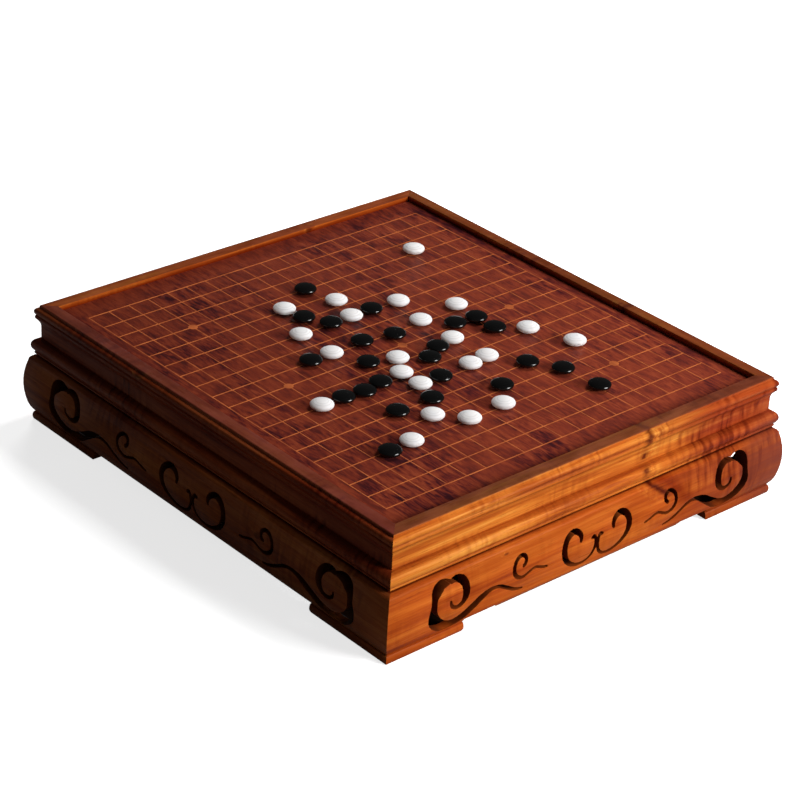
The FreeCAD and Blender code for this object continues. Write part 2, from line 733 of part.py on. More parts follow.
def add_drawer_sides(side):
    """Each side has a groove inside for the bottom and one outside for its runner."""
    run = (INSIDE_START, BOX_END)
    runner_height = (RUNNER_LOW, RUNNER_LOW + size("runner_groove_height"))
    for hand_name, hand in HANDS.items():
        name = f"{side}_{hand_name}_drawer_side"
        blank = board(name, on_hand(hand, HALF_INSIDE, HALF_BOX), run, BOX_HEIGHT)
        bottom_span = on_hand(hand, HALF_INSIDE, HALF_BOTTOM_GROOVE)
        bottom_groove = block(f"{name}_bottom_groove", bottom_span, run, BOTTOM_HEIGHT)
        runner_span = on_hand(hand, HALF_BOX - size("runner_groove_depth"), HALF_BOX)
        runner_groove = block(f"{name}_runner_groove", runner_span, run, runner_height)
        item = cut(f"{name}_piece", blank, bottom_groove, runner_groove)
        place_on_side(item, side)
        keep(item, f"{side}_drawer_{hand_name}_side")


def add_drawer_back(side):
    run = (INSIDE_END, BOX_END)
    height = (BOTTOM_HIGH, DRAWER_HIGH)
    back = board(f"{side}_drawer_back", centred(HALF_INSIDE), run, height)
    place_on_side(back, side)
    keep(back, f"{side}_drawer_back")


def add_drawer_bottom(side):
    play = size("groove_play")
    run = (INSIDE_START - size("drawer_groove_depth") + play, BOX_END)
    span = centred(HALF_BOTTOM_GROOVE - play)
    bottom = board(f"{side}_drawer_bottom", span, run, BOTTOM_HEIGHT)
    place_on_side(bottom, side)
    keep(bottom, f"{side}_drawer_bottom")


for side_name in DRAWER_SIDES:
    side_length = size(SIDE_LENGTHS[side_name][0])
    side_reach = size(SIDE_LENGTHS[side_name][2]).value
    add_drawer_face(side_name, side_length, side_reach)
    add_drawer_front(side_name)
    add_drawer_sides(side_name)
    add_drawer_back(side_name)
    add_drawer_bottom(side_name)


# ------------------------------------------------------------------------ stones

# A game in progress. Each stone is given by its column, counted from the left, and
# its row, counted from the back; players put stones down a little off the crossings.
WHITE_STONES = (
    (15.2, 2.9), (9.2, 4.7), (11.3, 6.2), (13.1, 7.8), (6.9, 4.1), (8.8, 6.1),
    (10.9, 8.0), (14.1, 11.0), (6.0, 6.2), (10.9, 9.9), (14.9, 12.9), (6.0, 8.1),
    (7.9, 9.9), (7.2, 10.9), (7.2, 12.0), (8.8, 15.0), (2.9, 11.1), (5.9, 14.1),
    (6.9, 15.1), (3.9, 15.1), (10.0, 11.9), (11.0, 11.8),
)
BLACK_STONES = (
    (8.8, 3.2), (7.1, 5.1), (7.7, 6.1), (9.9, 6.1), (7.7, 8.0), (9.2, 8.3),
    (4.9, 8.1), (6.7, 9.5), (11.9, 9.0), (13.0, 9.1), (13.0, 10.2), (9.9, 10.1),
    (9.0, 10.6), (8.3, 12.0), (6.0, 11.0), (5.0, 11.2), (4.0, 11.1), (6.8, 13.1),
    (5.0, 13.1), (2.7, 15.2), (9.8, 13.9), (12.0, 13.1), (12.8, 14.3), (13.0, 16.1),
)
LINES = 19
STONE_SIDES = 12
# Rings of a stone from its top: share of the radius, share of the half thickness.
STONE_RINGS = ((0.5, 1.0), (1.0, 0.0), (0.5, -1.0))


def stone_shape():
    """A lens shaped stone, twelve-sided so that a board of them stays light."""
    radius = size("stone_diameter").value / 2
    half = size("stone_thickness").value / 2
    rings = []
    for across, up in STONE_RINGS:
        ring = []
        for step in range(STONE_SIDES):
            turn = 2 * math.pi * step / STONE_SIDES
            x = radius * across * math.cos(turn)
            y = radius * across * math.sin(turn)
            ring.append(Vector(x, y, half + half * up))
        rings.append(ring)
    faces = [Part.Face(Part.makePolygon(ring + ring[:1])) for ring in (rings[0], rings[-1])]
    for upper, lower in zip(rings, rings[1:]):
        for step in range(STONE_SIDES):
            after = (step + 1) % STONE_SIDES
            corners = [upper[step], upper[after], lower[after], lower[step], upper[step]]
            faces.append(Part.Face(Part.makePolygon(corners)))
    return Part.Solid(Part.Shell(faces))


def add_stones(node, cells):
    """All the stones of one colour, lying on the playing face."""
    shape = stone_shape()
    middle = (LINES - 1) / 2
    pieces = []
    for column, row in cells:
        x = (column - middle) * size("grid_pitch_x").value
        y = (middle - row) * size("grid_pitch_y").value
        stone = shape.copy()
        stone.translate(Vector(x, y, 0))
        pieces.append(stone)
    group = doc.addObject("Part::Feature", node)
    group.Shape = Part.Compound(pieces)
    group.setExpression("Placement.Base.x", size("grid_shift_x").formula)
    group.setExpression("Placement.Base.y", size("grid_shift_y").formula)
    group.setExpression("Placement.Base.z", FIELD.formula)
    keep(group, node)


add_stones("white_stones", WHITE_STONES)
add_stones("black_stones", BLACK_STONES)


# ------------------------------------------------------------- checks and export

doc.recompute()
for item in doc.Objects:
    if "Invalid" in item.State or "Error" in item.State:
        raise RuntimeError(f"{item.Name} failed: {item.State}")
for item in NODES:
    if item.Shape.isNull() or not item.Shape.isValid():
        raise RuntimeError(f"{item.Label} has no valid shape")

os.makedirs("parts", exist_ok=True)
for item in NODES:
    item.Shape.exportStep(f"parts/{item.Label}.step")
print(f"{len(NODES)} nodes written")
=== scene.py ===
import math

import bmesh
import bpy
from mathutils import Matrix, Vector


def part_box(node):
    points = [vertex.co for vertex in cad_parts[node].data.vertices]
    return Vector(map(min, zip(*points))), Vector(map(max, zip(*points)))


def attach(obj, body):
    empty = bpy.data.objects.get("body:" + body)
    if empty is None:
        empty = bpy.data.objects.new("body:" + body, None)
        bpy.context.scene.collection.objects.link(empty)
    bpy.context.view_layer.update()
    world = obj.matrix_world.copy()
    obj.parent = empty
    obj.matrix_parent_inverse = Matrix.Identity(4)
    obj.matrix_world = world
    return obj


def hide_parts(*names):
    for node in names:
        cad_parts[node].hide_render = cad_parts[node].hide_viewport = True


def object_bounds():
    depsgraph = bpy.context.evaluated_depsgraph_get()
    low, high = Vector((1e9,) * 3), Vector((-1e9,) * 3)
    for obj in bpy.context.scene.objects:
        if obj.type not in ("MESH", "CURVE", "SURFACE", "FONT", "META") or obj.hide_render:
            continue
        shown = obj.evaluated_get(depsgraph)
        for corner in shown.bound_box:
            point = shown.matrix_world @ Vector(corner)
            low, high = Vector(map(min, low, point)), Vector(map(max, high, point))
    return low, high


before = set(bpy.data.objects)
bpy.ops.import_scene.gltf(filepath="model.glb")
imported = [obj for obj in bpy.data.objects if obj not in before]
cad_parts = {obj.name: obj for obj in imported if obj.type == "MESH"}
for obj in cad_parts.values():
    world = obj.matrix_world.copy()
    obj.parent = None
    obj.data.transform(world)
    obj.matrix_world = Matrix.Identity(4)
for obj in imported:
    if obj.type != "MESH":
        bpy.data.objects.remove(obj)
CAD_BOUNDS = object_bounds()

# The look of a go board: varnished hardwood sides, a rosewood playing panel with
# inlaid lines, glass stones and plain wooden drawers. Metres, in the frame's axes.

MM = 0.001


# ---------------------------------------------------------------- node helpers

class Nodes:
    """A material's node tree with short ways to add and join nodes."""

    def __init__(self, name):
        self.material = bpy.data.materials.new(name)
        self.material.use_nodes = True
        self.tree = self.material.node_tree
        self.shader = self.tree.nodes["Principled BSDF"]

    def add(self, kind, **settings):
        node = self.tree.nodes.new(kind)
        for key, value in settings.items():
            setattr(node, key, value)
        return node

    def feed(self, socket, value):
        if isinstance(value, bpy.types.NodeSocket):
            self.tree.links.new(value, socket)
        else:
            socket.default_value = value

    def math(self, operation, first, second=0.0, clamp=False):
        node = self.add("ShaderNodeMath", operation=operation, use_clamp=clamp)
        self.feed(node.inputs[0], first)
        self.feed(node.inputs[1], second)
        return node.outputs[0]

    def span(self, value, low, high, out_low=0.0, out_high=1.0):
        """Map a value from low..high to out_low..out_high with soft ends."""
        node = self.add("ShaderNodeMapRange", interpolation_type="SMOOTHSTEP")
        for socket, number in zip(node.inputs, (value, low, high, out_low, out_high)):
            self.feed(socket, number)
        return node.outputs[0]

    def mix(self, share, first, second, blend="MIX"):
        node = self.add("ShaderNodeMix", data_type="RGBA", blend_type=blend)
        self.feed(node.inputs["Factor"], share)
        self.feed(node.inputs[6], first)
        self.feed(node.inputs[7], second)
        return node.outputs[2]

    def point(self):
        """The point in the frame's axes, as a vector."""
        return self.add("ShaderNodeTexCoord").outputs["Object"]

    def split(self, vector):
        """A vector's parts, by the names X, Y and Z."""
        parts = self.add("ShaderNodeSeparateXYZ")
        self.feed(parts.inputs[0], vector)
        return parts.outputs

    def raised(self, vector, height):
        """The vector moved up by a height."""
        move = self.add("ShaderNodeCombineXYZ")
        self.feed(move.inputs["Z"], height)
        total = self.add("ShaderNodeVectorMath", operation="ADD")
        self.feed(total.inputs[0], vector)
        self.feed(total.inputs[1], move.outputs[0])
        return total.outputs[0]

    def stretched(self, vector, scales, shift=(0.0, 0.0, 0.0)):
        """The vector scaled along each axis, then shifted."""
        node = self.add("ShaderNodeMapping")
        self.feed(node.inputs["Vector"], vector)
        node.inputs["Scale"].default_value = scales
        node.inputs["Location"].default_value = shift
        return node.outputs[0]

    def noise(self, vector, scale, detail=3.0, roughness=0.5, distortion=0.0):
        node = self.add("ShaderNodeTexNoise")
        self.feed(node.inputs["Vector"], vector)
        self.feed(node.inputs["Scale"], scale)
        self.feed(node.inputs["Detail"], detail)
        self.feed(node.inputs["Roughness"], roughness)
        self.feed(node.inputs["Distortion"], distortion)
        return node.outputs["Fac"]

    def ramp(self, value, stops):
        """The colour at a value, from stops of a position and a colour each."""
        node = self.add("ShaderNodeValToRGB")
        self.feed(node.inputs[0], value)
        elements = node.color_ramp.elements
        while len(elements) < len(stops):
            elements.new(0.5)
        for element, (position, colour) in zip(elements, stops):
            element.position = position
            element.color = (*colour, 1.0)
        return node.outputs[0]

    def tint(self, share, colour, red, green, blue):
        """The colour, with a share of it multiplied by red, green and blue."""
        return self.mix(share, colour, (red, green, blue, 1.0), "MULTIPLY")

    def bump(self, height, distance, strength=1.0):
        node = self.add("ShaderNodeBump")
        self.feed(node.inputs["Height"], height)
        self.feed(node.inputs["Distance"], distance)
        self.feed(node.inputs["Strength"], strength)
        self.feed(self.shader.inputs["Normal"], node.outputs[0])

    def set(self, **values):
        """Set the shader's inputs; an underscore stands for a space in the name."""
        for name, value in values.items():
            self.feed(self.shader.inputs[name.replace("_", " ")], value)


# -------------------------------------------------------------------- materials

# Where X and Y lie in a vector.
ALONG = {"X": 0, "Y": 1}
RIM_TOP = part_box("front_side")[1].z
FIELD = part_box("board_panel")[1].z
BELLY_TOP = RIM_TOP - 50.0 * MM

# Where the moulding's grooves are darkened with stain and painted shade: depth below the
# rim's top and reach in millimetres, and strength.
QUIRKS = (
    (10.0, 1.6, 0.60),
    (14.2, 1.6, 0.50),
    (21.0, 2.2, 0.45),
    (34.4, 2.8, 0.75),
    (46.6, 1.6, 0.95),
    (50.4, 1.6, 1.80),
    (110.2, 1.5, 0.45),
)

# The sides' colours: the ramps of grain and rim, what is mixed in, and what multiplies.
HARDWOOD = (
    (0.36, (0.190, 0.024, 0.005)),
    (0.43, (0.350, 0.058, 0.008)),
    (0.50, (0.500, 0.105, 0.012)),
    (0.57, (0.630, 0.170, 0.022)),
    (0.67, (0.770, 0.280, 0.050)),
)
# The rim top's ramp paints shade on the flat top as well as mottled wear.
WORN_AND_SHADED_RIM = ((0.35, (0.085, 0.022, 0.012)), (0.65, (0.190, 0.055, 0.030)))
HEARTWOOD = (0.250, 0.036, 0.009, 1.0)
DARK_PORE = (0.150, 0.022, 0.005, 1.0)
KNOT_GLOW = (0.860, 0.360, 0.070, 1.0)
KNOT_EYE = (0.110, 0.015, 0.004, 1.0)
BLUSH = (0.185, 0.034, 0.020, 1.0)
# The sawn walls' colour paints the shade inside the slots as well as the darker sawn grain.
SAWN_WOOD_AND_SHADE = (0.060, 0.014, 0.005, 1.0)
BROWN_TINT = (0.80, 0.52, 0.68)
RIPPLE_DARK = (0.52, 0.36, 0.32)
RIPPLE_LIGHT = (1.18, 1.40, 1.45)
# The quirks' tint paints shade in the grooves as well as stain.
STAIN_AND_SHADE_TINT = (0.46, 0.24, 0.12)
# The inner face's tint paints shade and stain where it meets the field.
INSIDE_SHADE_AND_STAIN_TINT = (0.40, 0.16, 0.10)

# The lengths over which one look turns into another, the heights between which the sawn
# walls' dark colour and painted shade start, and how far a knot lifts the grain.
BELLY_FADE = 2.0 * MM
RED_FADE = 70.0 * MM
BROWN_FADE = 60.0 * MM
SAWN_SHADE_FADE = (9.0 * MM, 11.0 * MM)
KNOT_LIFT = 4.0 * MM


class Grain:
    """Noise drawn out along a plank's grain, with scales per metre."""

    def __init__(self, n, axis, seed):
        self.n = n
        self.axis = ALONG[axis]
        self.shift = (seed, seed * 0.37, seed * 0.71)

    def noise(self, vector, along, across, detail, roughness=0.5, distortion=0.0):
        scales = [across, across, across]
        scales[self.axis] = along
        drawn = self.n.stretched(vector, tuple(scales), self.shift)
        return self.n.noise(drawn, 1.0, detail, roughness, distortion)


def near(n, value, middle, reach):
    """1 at the middle, falling softly to 0 at the reach on each side of it."""
    away = n.math("ABSOLUTE", n.math("SUBTRACT", value, middle))
    return n.span(away, 0.0, reach, 1.0, 0.0)


def spot(n, parts, axis, along, depth, *reach):
    """1 at a place on a side, falling softly to 0 at its reach along and in depth."""
    beside = n.math("DIVIDE", n.math("SUBTRACT", parts[axis], along), reach[0])
    above = n.math("DIVIDE", n.math("SUBTRACT", parts["Z"], RIM_TOP - depth), reach[1])
    squares = n.math("ADD", n.math("MULTIPLY", beside, beside), n.math("MULTIPLY", above, above))
    return n.span(n.math("SQRT", squares), 0.0, 1.0, 1.0, 0.0)


def largest(n, values):
    """The largest of several values."""
    most = values[0]
    for value in values[1:]:
        most = n.math("MAXIMUM", most, value)
    return most


def streaks(n, grain, flow, wide, belly):
    """The grain's colour: wide and fine streaks over patches, calmer on the belly."""
    fine = grain.noise(flow, 12.0, 330.0, 4.0, 0.6, 0.7)
    patch = grain.noise(flow, 9.0, 14.0, 2.0, 0.5, 0.4)
    tone = n.math("ADD", n.math("MULTIPLY", wide, 0.5), n.math("MULTIPLY", fine, 0.32))
    tone = n.math("ADD", tone, n.math("MULTIPLY", patch, 0.18))
    calm = n.math("SUBTRACT", 1.0, n.math("MULTIPLY", belly, 0.30))
    tone = n.math("ADD", n.math("MULTIPLY", n.math("SUBTRACT", tone, 0.5), calm), 0.5)
    return n.ramp(tone, HARDWOOD)


def heartwood(n, grain, flow, along, plank):
    """Where the wood is red: in broad patches, and beyond red_from."""
    heart = n.span(grain.noise(flow, 4.0, 8.0, 1.0), 0.50, 0.64)
    if "red_from" in plank:
        beyond = n.span(along, plank["red_from"], plank["red_from"] + RED_FADE)
        heart = n.math("MAXIMUM", heart, beyond)
    return heart


def ripples(n, grain, vector, flow, heart, belly, colour):
    """Faint dark and light ripples across the grain, stronger in the red wood."""
    swell = n.math("ADD", n.math("MULTIPLY", heart, 1.1), 0.35)
    swell = n.math("SUBTRACT", swell, n.math("MULTIPLY", belly, 0.15))
    share = n.span(grain.noise(vector, 14.0, 34.0, 1.0), 0.38, 0.60)
    share = n.math("MULTIPLY", share, swell)
    wave = grain.noise(flow, 190.0, 34.0, 1.0, 0.4, 0.5)
    dark = n.math("MULTIPLY", n.span(wave, 0.54, 0.26), share)
    light = n.math("MULTIPLY", n.span(wave, 0.48, 0.72), share)
    return n.tint(light, n.tint(dark, colour, *RIPPLE_DARK), *RIPPLE_LIGHT)


def knot_marks(n, grain, vector, pull, colour):
    """The knots' golden rings and their dark, rough-edged eyes."""
    rough = grain.noise(vector, 110.0, 190.0, 3.0, 0.6)
    eye = n.math("ADD", pull, n.math("MULTIPLY", n.math("SUBTRACT", rough, 0.5), 1.1))
    eye = n.span(eye, 0.55, 1.0)
    glow = n.math("MULTIPLY", n.span(pull, 0.0, 0.5), n.span(rough, 0.52, 0.66))
    colour = n.mix(n.math("MULTIPLY", glow, 0.55), colour, KNOT_GLOW)
    return n.mix(n.math("MULTIPLY", eye, 0.70), colour, KNOT_EYE)


def figure(n, place, vector, parts, axis, colour):
    """A ragged dark streak across the grain, with gold beside it and red below it."""
    shift = (place * 30.0, 0.0, 0.0)
    wander = n.noise(n.stretched(vector, (26.0, 26.0, 40.0), shift), 1.0, 2.0, 0.5)
    ragged = n.noise(n.stretched(vector, (190.0, 190.0, 190.0), shift), 1.0, 3.0, 0.6)
    patchy = n.noise(n.stretched(vector, (30.0, 30.0, 110.0), shift), 1.0, 2.0)

    below = n.math("MAXIMUM", n.math("SUBTRACT", BELLY_TOP, parts["Z"]), 0.0)
    across = n.math("SUBTRACT", parts[axis], n.math("MULTIPLY", below, 1.1))
    across = n.math("ADD", across, n.math("MULTIPLY", n.math("SUBTRACT", wander, 0.5), 14.0 * MM))
    across = n.math("ADD", across, n.math("MULTIPLY", n.math("SUBTRACT", ragged, 0.5), 7.0 * MM))
    lower = n.span(parts["Z"], BELLY_TOP - 1.0 * MM, BELLY_TOP, 1.0, 0.0)
    breaks = n.math("MAXIMUM", n.span(patchy, 0.38, 0.56, 0.15, 1.0), lower)
    ends = n.span(parts["Z"], BELLY_TOP - 26.0 * MM, BELLY_TOP - 12.0 * MM)
    whole = n.math("MULTIPLY", ends, breaks)

    beside = n.math("SUBTRACT", 10.0 * MM, n.math("MULTIPLY", lower, 20.0 * MM))
    flare = near(n, n.math("SUBTRACT", across, beside), place, 11.0 * MM)
    flare = n.math("MULTIPLY", n.math("MULTIPLY", flare, whole), n.span(ragged, 0.36, 0.58))
    colour = n.tint(flare, colour, 1.25, 1.65, 1.9)
    rust = n.math("MULTIPLY", near(n, across, place + 14.0 * MM, 18.0 * MM), lower)
    fading = n.span(parts["Z"], BELLY_TOP - 46.0 * MM, BELLY_TOP - 20.0 * MM)
    colour = n.tint(n.math("MULTIPLY", rust, fading), colour, 0.62, 0.40, 0.34)
    streak = n.math("MULTIPLY", near(n, across, place, 7.0 * MM), whole)
    return n.tint(streak, colour, 0.22, 0.10, 0.10)


def inner_faces(n, axis, parts, belly, inward, colour):
    """Paint shade and stain low on the side's inner face, by the field, and shade and a darker
    sawn colour on the walls in the belly.
    """
    normal = n.split(n.add("ShaderNodeTexCoord").outputs["Normal"])[1 - ALONG[axis]]
    inside = n.span(n.math("MULTIPLY", normal, inward), 0.5, 0.9)
    # Painted shade and stain low on the inner face, next to the field.
    low = n.span(parts["Z"], FIELD, FIELD + 6.0 * MM, 1.0, 0.0)
    colour = n.tint(n.math("MULTIPLY", inside, low), colour, *INSIDE_SHADE_AND_STAIN_TINT)
    # The walls in the belly's slots get painted shade and a darker sawn colour.
    sawn_and_shaded = n.span(n.math("ABSOLUTE", normal), 0.12, 0.40, 1.0, 0.0)
    sawn_and_shaded = n.math("MULTIPLY", n.math("MULTIPLY", sawn_and_shaded, belly), n.span(parts["Z"], *SAWN_SHADE_FADE))
    return n.mix(n.math("MULTIPLY", sawn_and_shaded, 0.72), colour, SAWN_WOOD_AND_SHADE)


def side_wood(name, axis, seed, plank):
    """Varnished hardwood: long golden and red streaks, faint cross ripples, quirks dark with stain
    and painted shade.
    """
    n = Nodes(name)
    grain = Grain(n, axis, seed)
    vector = n.point()
    parts = n.split(vector)
    along = parts[axis]
    belly = n.span(parts["Z"], BELLY_TOP - BELLY_FADE, BELLY_TOP, 1.0, 0.0)
    pull = largest(n, [spot(n, parts, axis, *knot) for knot in plank["knots"]])
    flow = n.raised(vector, n.math("MULTIPLY", pull, KNOT_LIFT))

    wide = grain.noise(flow, 4.5, 60.0, 3.0, 0.5, 0.9)
    colour = streaks(n, grain, flow, wide, belly)
    upper = n.tint(1.0, colour, *plank["upper_tint"])
    lower = n.tint(1.0, colour, *plank["belly_tint"])
    colour = n.mix(belly, upper, lower)
    heart = heartwood(n, grain, flow, along, plank)
    redness = n.math("MULTIPLY", heart, n.math("ADD", n.math("MULTIPLY", belly, 0.02), 0.56))
    colour = n.mix(redness, colour, HEARTWOOD)
    if "brown_from" in plank:
        brown = n.span(along, plank["brown_from"], plank["brown_from"] + BROWN_FADE)
        brown = n.math("MULTIPLY", brown, n.math("SUBTRACT", 1.0, belly))
        colour = n.tint(brown, colour, *BROWN_TINT)
    colour = ripples(n, grain, vector, flow, heart, belly, colour)

    pores = n.span(grain.noise(flow, 70.0, 1300.0, 2.0, 0.6), 0.60, 0.72)
    colour = n.mix(n.math("MULTIPLY", pores, 0.45), colour, DARK_PORE)
    # Stain and painted shade darken the moulding's grooves.
    stain_and_shade = largest(n, [
        n.math("MULTIPLY", near(n, parts["Z"], RIM_TOP - depth * MM, reach * MM), strength)
        for depth, reach, strength in QUIRKS])
    gather = n.span(wide, 0.38, 0.6, 0.35, 0.8)
    colour = n.tint(n.math("MULTIPLY", stain_and_shade, gather), colour, *STAIN_AND_SHADE_TINT)

    colour = knot_marks(n, grain, vector, pull, colour)
    if "figure" in plank:
        colour = figure(n, plank["figure"], vector, parts, axis, colour)
    for patch in plank.get("blushes", ()):
        blush = n.span(spot(n, parts, axis, *patch), 0.0, 0.55)
        blush = n.math("MULTIPLY", blush, n.span(wide, 0.30, 0.62, 1.0, 0.55))
        colour = n.mix(n.math("MULTIPLY", blush, 0.90), colour, BLUSH)
    colour = inner_faces(n, axis, parts, belly, plank["inward"], colour)

    # Painted shade and mottled wear darken the rim's flat top.
    top = n.span(parts["Z"], RIM_TOP - 0.9 * MM, RIM_TOP - 0.3 * MM)
    worn_and_shaded = n.ramp(grain.noise(flow, 30.0, 90.0, 3.0, 0.6), WORN_AND_SHADED_RIM)
    colour = n.mix(n.math("MULTIPLY", top, plank["rim_wear_and_shade"]), colour, worn_and_shaded)
    colour = n.tint(1.0, colour, *plank["shade"])
    return varnish(n, colour, n.math("MAXIMUM", pores, stain_and_shade, clamp=True), 0.42)


def varnish(n, colour, pores, roughness):
    """A thin warm varnish that sinks a little into the pores."""
    n.set(Base_Color=colour, IOR=1.45, Specular_IOR_Level=0.14)
    n.set(Roughness=n.span(pores, 0.0, 1.0, roughness, roughness + 0.2))
    n.set(Specular_Tint=(1.0, 0.62, 0.32, 1.0))
    n.bump(n.math("MULTIPLY", pores, -1.0), 0.05 * MM, 0.5)
    return n.material


def panel_wood():
    """Rosewood with short dark streaks along Y, under a satin varnish."""
    n = Nodes("rosewood")
    vector = n.point()
    broad = n.noise(n.stretched(vector, (20.0, 7.0, 5.0)), 1.0, 2.0, 0.5, 0.5)
    streaks = n.noise(n.stretched(vector, (330.0, 48.0, 30.0)), 1.0, 3.0, 0.6, 0.9)
    clouds = n.noise(n.stretched(vector, (75.0, 42.0, 30.0), (3.0, 1.0, 0.0)), 1.0, 3.0, 0.55, 0.6)
    tone = n.math("ADD", n.math("MULTIPLY", streaks, 0.6), n.math("MULTIPLY", clouds, 0.4))
    colour = n.ramp(tone, (
        (0.39, (0.036, 0.007, 0.010)),
        (0.46, (0.108, 0.016, 0.013)),
        (0.53, (0.182, 0.029, 0.015)),
        (0.61, (0.258, 0.048, 0.021)),
    ))
    warm = n.span(broad, 0.40, 0.64)
    colour = n.mix(n.math("MULTIPLY", warm, 0.45), colour, (0.214, 0.036, 0.016, 1.0))
    pore_at = n.stretched(vector, (1500.0, 110.0, 60.0))
    pores = n.span(n.noise(pore_at, 1.0, 2.0, 0.6), 0.60, 0.70)
    colour = n.mix(n.math("MULTIPLY", pores, 0.5), colour, (0.040, 0.008, 0.008, 1.0))
    return varnish(n, colour, pores, 0.46)


def inner_wood(name, axis, seed):
    """Plain unvarnished wood for what only shows from below or when a drawer opens."""
    n = Nodes(name)
    grain = Grain(n, axis, seed)
    vector = n.point()
    colour = n.ramp(grain.noise(vector, 6.0, 120.0, 4.0, 0.55, 0.5), (
        (0.35, (0.270, 0.130, 0.055)),
        (0.50, (0.400, 0.215, 0.098)),
        (0.65, (0.500, 0.300, 0.150)),
    ))
    pores = n.span(grain.noise(vector, 120.0, 1700.0, 2.0, 0.6), 0.58, 0.70)
    colour = n.mix(n.math("MULTIPLY", pores, 0.5), colour, (0.160, 0.075, 0.032, 1.0))
    n.set(Base_Color=colour, Roughness=n.span(pores, 0.0, 1.0, 0.58, 0.75))
    n.bump(n.math("MULTIPLY", pores, -1.0), 0.06 * MM, 0.6)
    return n.material


def line_inlay(name, dark, light):
    """The pale orange of the inlaid lines, a little uneven along them."""
    n = Nodes(name)
    fade = n.noise(n.stretched(n.point(), (70.0, 70.0, 70.0)), 1.0, 3.0, 0.6)
    n.set(Base_Color=n.ramp(fade, ((0.35, dark), (0.62, light))), Specular_IOR_Level=0.3)
    n.set(Roughness=n.span(fade, 0.3, 0.7, 0.45, 0.55))
    return n.material


RING_NAME = "distance_from_middle"
RING_WAVES = 26.0


def stone_glass(name, low, high, roughness, gloss, milk=0.0):
    """Glass from moulds that leave faint rings; milk is how far light spreads in it."""
    n = Nodes(name)
    out = n.add("ShaderNodeAttribute", attribute_name=RING_NAME).outputs["Fac"]
    clouds = n.noise(n.stretched(n.point(), (60.0, 60.0, 60.0)), 1.0, 2.0)
    turns = n.math("ADD", n.math("MULTIPLY", out, RING_WAVES), n.math("MULTIPLY", clouds, 2.0))
    wave = n.math("SINE", turns)
    rings = n.math("MULTIPLY", n.span(wave, 0.2, 1.0), n.span(out, 0.25, 0.60))
    n.set(Base_Color=n.mix(rings, (*high, 1.0), (*low, 1.0)), IOR=1.5, Specular_IOR_Level=gloss)
    n.set(Roughness=n.span(clouds, 0.3, 0.7, roughness, roughness + 0.06))
    n.bump(rings, 0.02 * MM, 0.4)
    if milk:
        n.set(Subsurface_Weight=1.0, Subsurface_Scale=milk, Subsurface_Radius=(1.0, 0.95, 0.9))
    return n.material


# What sets each side's plank apart. Places along a side are from the board's middle.
#   knots, blushes  each one's place along the side, its depth below the rim's top, and
#                   its reach along the side and in depth; a blush is a dark red patch
#   figure          the place of a ragged dark streak across the grain
#   upper_tint      multiplies the grain's colour above the belly
#   belly_tint      multiplies it on the belly
#   red_from        from this place on the wood turns red
#   brown_from      from this place on the mouldings above the belly turn brown
#   rim_wear_and_shade  how strong the dark wear and painted shade on the rim's flat top are
#   inward          the sign of the inner face's normal
#   shade           painted shade that multiplies the finished colour, darkest on the left
FRONT_PLANK = {
    "knots": ((-104.0 * MM, 58.0 * MM, 8.0 * MM, 3.0 * MM),),
    "figure": 64.0 * MM,
    "upper_tint": (1.12, 1.26, 1.32),
    "belly_tint": (0.90, 0.75, 0.70),
    "red_from": 80.0 * MM,
    "brown_from": 95.0 * MM,
    "blushes": ((222.0 * MM, 80.0 * MM, 60.0 * MM, 70.0 * MM),),
    "rim_wear_and_shade": 0.80,
    "inward": 1.0,
    "shade": (0.98, 0.97, 0.92),
}
BACK_PLANK = {
    "knots": (
        (83.0 * MM, 3.0 * MM, 12.0 * MM, 8.0 * MM),
        (-140.0 * MM, 78.0 * MM, 16.0 * MM, 11.0 * MM),
    ),
    "upper_tint": (1.07, 1.16, 1.19),
    "belly_tint": (0.94, 0.85, 0.82),
    "rim_wear_and_shade": 0.72,
    "inward": -1.0,
    "shade": (0.85, 0.76, 0.68),
}
# The left plank's tints and shade paint the dark, cool shade of the side the lamps leave unlit.
LEFT_PLANK = {
    "knots": (
        (90.0 * MM, 2.0 * MM, 16.0 * MM, 9.0 * MM),
        (-90.0 * MM, 74.0 * MM, 14.0 * MM, 10.0 * MM),
    ),
    "upper_tint": (0.82, 0.72, 0.95),
    "belly_tint": (1.12, 1.40, 1.80),
    "rim_wear_and_shade": 0.72,
    "inward": 1.0,
    "shade": (0.58, 0.50, 0.72),
}
RIGHT_PLANK = {
    "knots": ((120.0 * MM, 44.0 * MM, 18.0 * MM, 14.0 * MM),),
    "figure": -70.0 * MM,
    "upper_tint": (1.07, 1.16, 1.19),
    "belly_tint": (0.94, 0.85, 0.82),
    "rim_wear_and_shade": 0.72,
    "inward": -1.0,
    "shade": (0.85, 0.76, 0.68),
}

MATERIALS = {
    "front_side": side_wood("hardwood_front", "X", 3.1, FRONT_PLANK),
    "back_side": side_wood("hardwood_back", "X", 17.3, BACK_PLANK),
    "left_side": side_wood("hardwood_left", "Y", 29.7, LEFT_PLANK),
    "right_side": side_wood("hardwood_right", "Y", 41.9, RIGHT_PLANK),
    "board_panel": panel_wood(),
}
MATERIALS["back_drawer_face"] = MATERIALS["back_side"]
MATERIALS["right_drawer_face"] = MATERIALS["right_side"]
INNER = {axis: inner_wood(f"plain_wood_{axis}", axis, 7.7) for axis in ALONG}


# --------------------------------------------------------------- dressing nodes

SHARP_ANGLE = math.radians(32.0)
FLAT_ANGLE = math.radians(0.3)
WELD_REACH = 0.005 * MM
EDGE_WIDTH = 0.35 * MM


